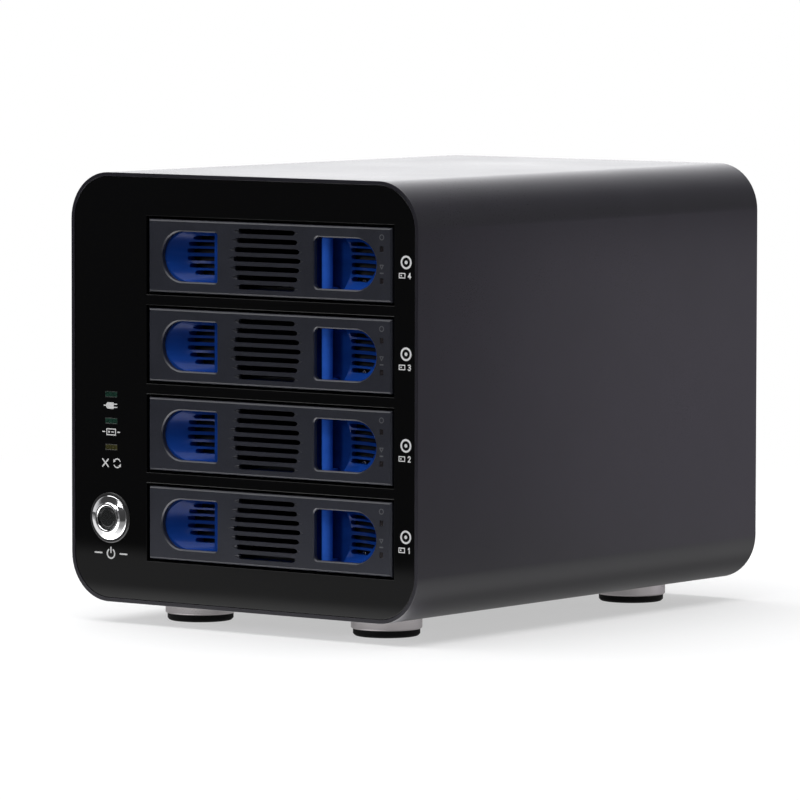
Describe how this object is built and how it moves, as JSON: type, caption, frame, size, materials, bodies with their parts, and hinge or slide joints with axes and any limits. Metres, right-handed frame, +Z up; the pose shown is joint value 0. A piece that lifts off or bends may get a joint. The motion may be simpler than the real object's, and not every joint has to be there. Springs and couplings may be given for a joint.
{
  "type": "nas enclosure",
  "caption": "Desktop drive enclosure with stacked slide-out drive trays, status lamps, a front power button, a rear fan and round feet.",
  "frame": {"origin": "centre of the footprint, on the table under the rubber feet", "axes": "+Z up, front panel faces -Y, +X to the right seen from the front"},
  "size_m": [0.17, 0.232, 0.1763],
  "materials": {
    "shell_black": "satin black powder coat over aluminium",
    "gloss_panel": "gloss black acrylic",
    "bezel_plastic": "moulded black",
    "lamp_green": "green translucent",
    "lamp_amber": "amber translucent",
    "circuit_board": "solder mask",
    "chrome": "polished",
    "button_black": "smooth black",
    "switch_plastic": "moulded black",
    "zinc_hardware": "zinc plated",
    "cage_sheet": "galvanised sheet",
    "rail_plastic": "moulded black",
    "socket_plastic": "moulded black",
    "heatsink": "extruded",
    "brass_hardware": "turned",
    "ribbon": "grey ribbon",
    "rear_sheet": "fine black powder coat",
    "fan_plastic": "moulded black",
    "guard_wire": "plated wire",
    "socket_metal": "plated shell",
    "dial_plastic": "moulded white",
    "red_plastic": "moulded red",
    "foot_metal": "turned and brushed",
    "rubber": "matt",
    "cover_plastic": "dark grey, fine texture",
    "grip_blue": "royal blue moulding",
    "latch_blue": "royal blue moulding",
    "spring_steel": "spring steel",
    "carrier_plastic": "moulded black",
    "clear_pipe": "clear acrylic"
  },
  "bodies": {
    "chassis": {"outer_shell": "shell_black", "front_panel": "gloss_panel", "front_bezel": "bezel_plastic", "link_light_pipes": "lamp_green", "error_light_pipe": "lamp_amber", "led_board": "circuit_board", "power_button_ring": "chrome", "power_switch_body": "switch_plastic", "power_switch_nut": "zinc_hardware", "cage_left": "cage_sheet", "cage_right": "cage_sheet", "cage_top": "cage_sheet", "cage_bottom": "cage_sheet", "cage_screws": "zinc_hardware", "guide_rails": "rail_plastic", "backplane_board": "circuit_board", "drive_sockets": "socket_plastic", "controller_board": "circuit_board", "controller_heatsink": "heatsink", "board_standoffs": "brass_hardware", "data_cable": "ribbon", "rear_panel": "rear_sheet", "rear_screws": "zinc_hardware", "fan_frame": "fan_plastic", "fan_guard": "guard_wire", "fan_screws": "zinc_hardware", "usb_socket": "socket_metal", "esata_socket": "socket_plastic", "power_socket": "socket_plastic", "foot_discs": "foot_metal", "foot_pads": "rubber", "foot_screws": "zinc_hardware"},
    "tray_1": {"tray_cover_1": "cover_plastic", "tray_grip_1": "grip_blue", "latch_spring_1": "spring_steel", "tray_carrier_1": "carrier_plastic", "tray_light_pipes_1": "clear_pipe"},
    "latch_1": {"tray_latch_1": "latch_blue"},
    "tray_2": {"tray_cover_2": "cover_plastic", "tray_grip_2": "grip_blue", "latch_spring_2": "spring_steel", "tray_carrier_2": "carrier_plastic", "tray_light_pipes_2": "clear_pipe"},
    "latch_2": {"tray_latch_2": "latch_blue"},
    "tray_3": {"tray_cover_3": "cover_plastic", "tray_grip_3": "grip_blue", "latch_spring_3": "spring_steel", "tray_carrier_3": "carrier_plastic", "tray_light_pipes_3": "clear_pipe"},
    "latch_3": {"tray_latch_3": "latch_blue"},
    "tray_4": {"tray_cover_4": "cover_plastic", "tray_grip_4": "grip_blue", "latch_spring_4": "spring_steel", "tray_carrier_4": "carrier_plastic", "tray_light_pipes_4": "clear_pipe"},
    "latch_4": {"tray_latch_4": "latch_blue"},
    "power_button": {"power_button": "button_black"},
    "fan_rotor": {"fan_rotor": "fan_plastic"},
    "mode_dial": {"mode_dial": "dial_plastic"},
    "set_button": {"set_button": "red_plastic"}
  },
  "joints": [
    {"name": "tray_1_slide", "type": "slide", "parent": "chassis", "child": "tray_1", "axis": [0, -1, 0], "range_m": [0, 0.15]},
    {"name": "latch_1_slide", "type": "slide", "parent": "tray_1", "child": "latch_1", "axis": [-1, 0, 0], "range_m": [0, 0.0025], "deforming": ["latch_spring_1"]},
    {"name": "tray_2_slide", "type": "slide", "parent": "chassis", "child": "tray_2", "axis": [0, -1, 0], "range_m": [0, 0.15]},
    {"name": "latch_2_slide", "type": "slide", "parent": "tray_2", "child": "latch_2", "axis": [-1, 0, 0], "range_m": [0, 0.0025], "deforming": ["latch_spring_2"]},
    {"name": "tray_3_slide", "type": "slide", "parent": "chassis", "child": "tray_3", "axis": [0, -1, 0], "range_m": [0, 0.15]},
    {"name": "latch_3_slide", "type": "slide", "parent": "tray_3", "child": "latch_3", "axis": [-1, 0, 0], "range_m": [0, 0.0025], "deforming": ["latch_spring_3"]},
    {"name": "tray_4_slide", "type": "slide", "parent": "chassis", "child": "tray_4", "axis": [0, -1, 0], "range_m": [0, 0.15]},
    {"name": "latch_4_slide", "type": "slide", "parent": "tray_4", "child": "latch_4", "axis": [-1, 0, 0], "range_m": [0, 0.0025], "deforming": ["latch_spring_4"]},
    {"name": "power_button_press", "type": "slide", "parent": "chassis", "child": "power_button", "axis": [0, 1, 0], "range_m": [0, 0.0012]},
    {"name": "fan_spin", "type": "hinge", "parent": "chassis", "child": "fan_rotor", "pos_m": [0.0132, 0.1, 0.0923], "axis": [0, 1, 0], "continuous": true},
    {"name": "mode_dial_turn", "type": "hinge", "parent": "chassis", "child": "mode_dial", "pos_m": [-0.058, 0.11, 0.0803], "axis": [0, 1, 0], "range_deg": [0, 315]},
    {"name": "set_button_press", "type": "slide", "parent": "chassis", "child": "set_button", "axis": [0, -1, 0], "range_m": [0, 0.0008]}
  ]
}
